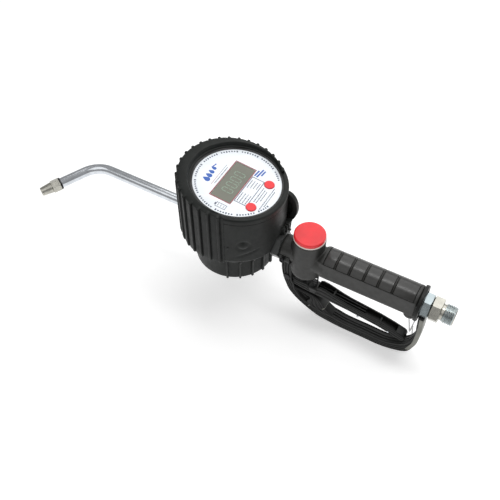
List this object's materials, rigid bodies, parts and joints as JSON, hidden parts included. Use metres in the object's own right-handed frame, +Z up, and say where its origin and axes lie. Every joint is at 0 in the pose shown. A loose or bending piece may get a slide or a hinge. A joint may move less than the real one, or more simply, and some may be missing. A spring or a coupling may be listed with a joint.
{
  "type": "oil control gun with digital meter",
  "caption": "Hand-held oil dispensing gun: ribbed-boot digital flow meter with tilted dial, trigger valve handle with guard, swivel inlet and bent spout.",
  "frame": {"origin": "centre of the inlet thread's end face", "axes": "+X out of the inlet along the fluid axis, +Z up through the dial side, +Y to the right of a user who holds the gun and looks along -X"},
  "size_m": [0.4781, 0.1223, 0.1737],
  "materials": {
    "rubber_black": "moulded matt black rubber with a faint sheen",
    "black_plastic": "glass-filled black plastic, fine matt grain",
    "black_coat": "satin black coating on cast aluminium",
    "grip_gloss": "semi-gloss black",
    "red_plastic": "semi-gloss red",
    "clear_ring": "translucent off-white nylon",
    "cast_alu": "as cast and machined",
    "chrome_tube": "bright zinc-chrome plate",
    "zinc_blue": "blue-passivated zinc plate, machined",
    "nickel": "nickel plate, machined",
    "steel": "bright steel",
    "dark_steel": "black oxide",
    "seal": "nitrile rubber",
    "gear_plastic": "natural acetal",
    "dial_white": "printed gloss film",
    "lcd": "grey-green liquid crystal window",
    "board": "green lacquered laminate",
    "battery": "sleeved cell"
  },
  "bodies": {
    "gun": {"meter_boot": "rubber_black", "meter_housing": "cast_alu", "chamber_cover": "cast_alu", "cover_seal": "seal", "cover_screws": "steel", "gear_shafts": "steel", "counter_case": "black_plastic", "case_screws": "steel", "pulse_sensor": "black_plastic", "dial_face": "dial_white", "lcd_module": "lcd", "circuit_board": "board", "button_switches": "black_plastic", "battery_holder": "black_plastic", "batteries": "battery", "coupling_nut": "black_coat", "coupling_seal": "seal", "handle_body": "black_coat", "grip_panel": "grip_gloss", "valve_plug": "zinc_blue", "cap_ring": "clear_ring", "valve_cap": "red_plastic", "valve_seat": "nickel", "valve_spring": "steel", "stem_seal": "seal", "packing_nut": "zinc_blue", "return_spring": "dark_steel", "trigger_pin": "steel", "trigger_guard": "black_plastic", "guard_screws": "dark_steel", "inlet_gland": "zinc_blue", "outlet_nut": "zinc_blue", "tube_ferrule": "steel", "spout_tube": "chrome_tube", "nozzle_ring": "seal", "nozzle_body": "nickel", "nozzle_tip": "nickel", "nozzle_spring": "steel"},
    "trigger": {"trigger_lever": "black_plastic"},
    "valve": {"valve_poppet": "steel"},
    "swivel": {"swivel_nipple": "nickel", "inlet_filter": "steel", "swivel_seal": "seal"},
    "left_gear": {"measuring_gear_left": "gear_plastic"},
    "right_gear": {"measuring_gear_right": "gear_plastic", "gear_magnets": "steel"},
    "reset": {"reset_button": "red_plastic"},
    "function": {"function_button": "red_plastic"},
    "latch": {"latch_wire": "steel"},
    "nozzle_valve": {"nozzle_poppet": "steel"}
  },
  "joints": [
    {"name": "trigger_pull", "type": "hinge", "parent": "gun", "child": "trigger", "pos_m": [-0.1822, 0, -0.043], "axis": [0, -1, 0], "range_deg": [0, 12], "stiffness_Nm_per_rad": 0.9, "springref_deg": -20.05, "deforming": ["return_spring"]},
    {"name": "valve_lift", "type": "slide", "parent": "gun", "child": "valve", "axis": [0, 0, 1], "range_m": [0, 0.0045], "stiffness_N_per_m": 3, "springref_m": 0.045, "deforming": ["valve_spring"]},
    {"name": "inlet_swivel", "type": "hinge", "parent": "gun", "child": "swivel", "pos_m": [0, 0, 0], "axis": [1, 0, 0], "continuous": true},
    {"name": "gear_right_spin", "type": "hinge", "parent": "gun", "child": "right_gear", "pos_m": [-0.2477, 0.014, 0], "axis": [0, 0, 1], "continuous": true},
    {"name": "gear_left_spin", "type": "hinge", "parent": "gun", "child": "left_gear", "pos_m": [-0.2477, -0.014, 0], "axis": [0, 0, 1], "continuous": true},
    {"name": "reset_press", "type": "slide", "parent": "gun", "child": "reset", "axis": [-0.1045, 0, -0.9945], "range_m": [0, 0.0008], "stiffness_N_per_m": 900, "springref_m": -0.001},
    {"name": "function_press", "type": "slide", "parent": "gun", "child": "function", "axis": [-0.1045, 0, -0.9945], "range_m": [0, 0.0008], "stiffness_N_per_m": 900, "springref_m": -0.001},
    {"name": "latch_swing", "type": "hinge", "parent": "gun", "child": "latch", "pos_m": [-0.0416, 0, -0.0224], "axis": [0, 1, 0], "range_deg": [-4, 25]},
    {"name": "nozzle_open", "type": "slide", "parent": "gun", "child": "nozzle_valve", "axis": [-0.5, -0.8616, -0.0875], "range_m": [0, 0.002], "stiffness_N_per_m": 400, "springref_m": -0.002, "deforming": ["nozzle_spring"]}
  ],
  "couplings": [
    {"joint": "valve_lift", "follows": "trigger_pull", "m_per_rad": 0.0208},
    {"joint": "gear_left_spin", "follows": "gear_right_spin", "ratio": -1}
  ]
}
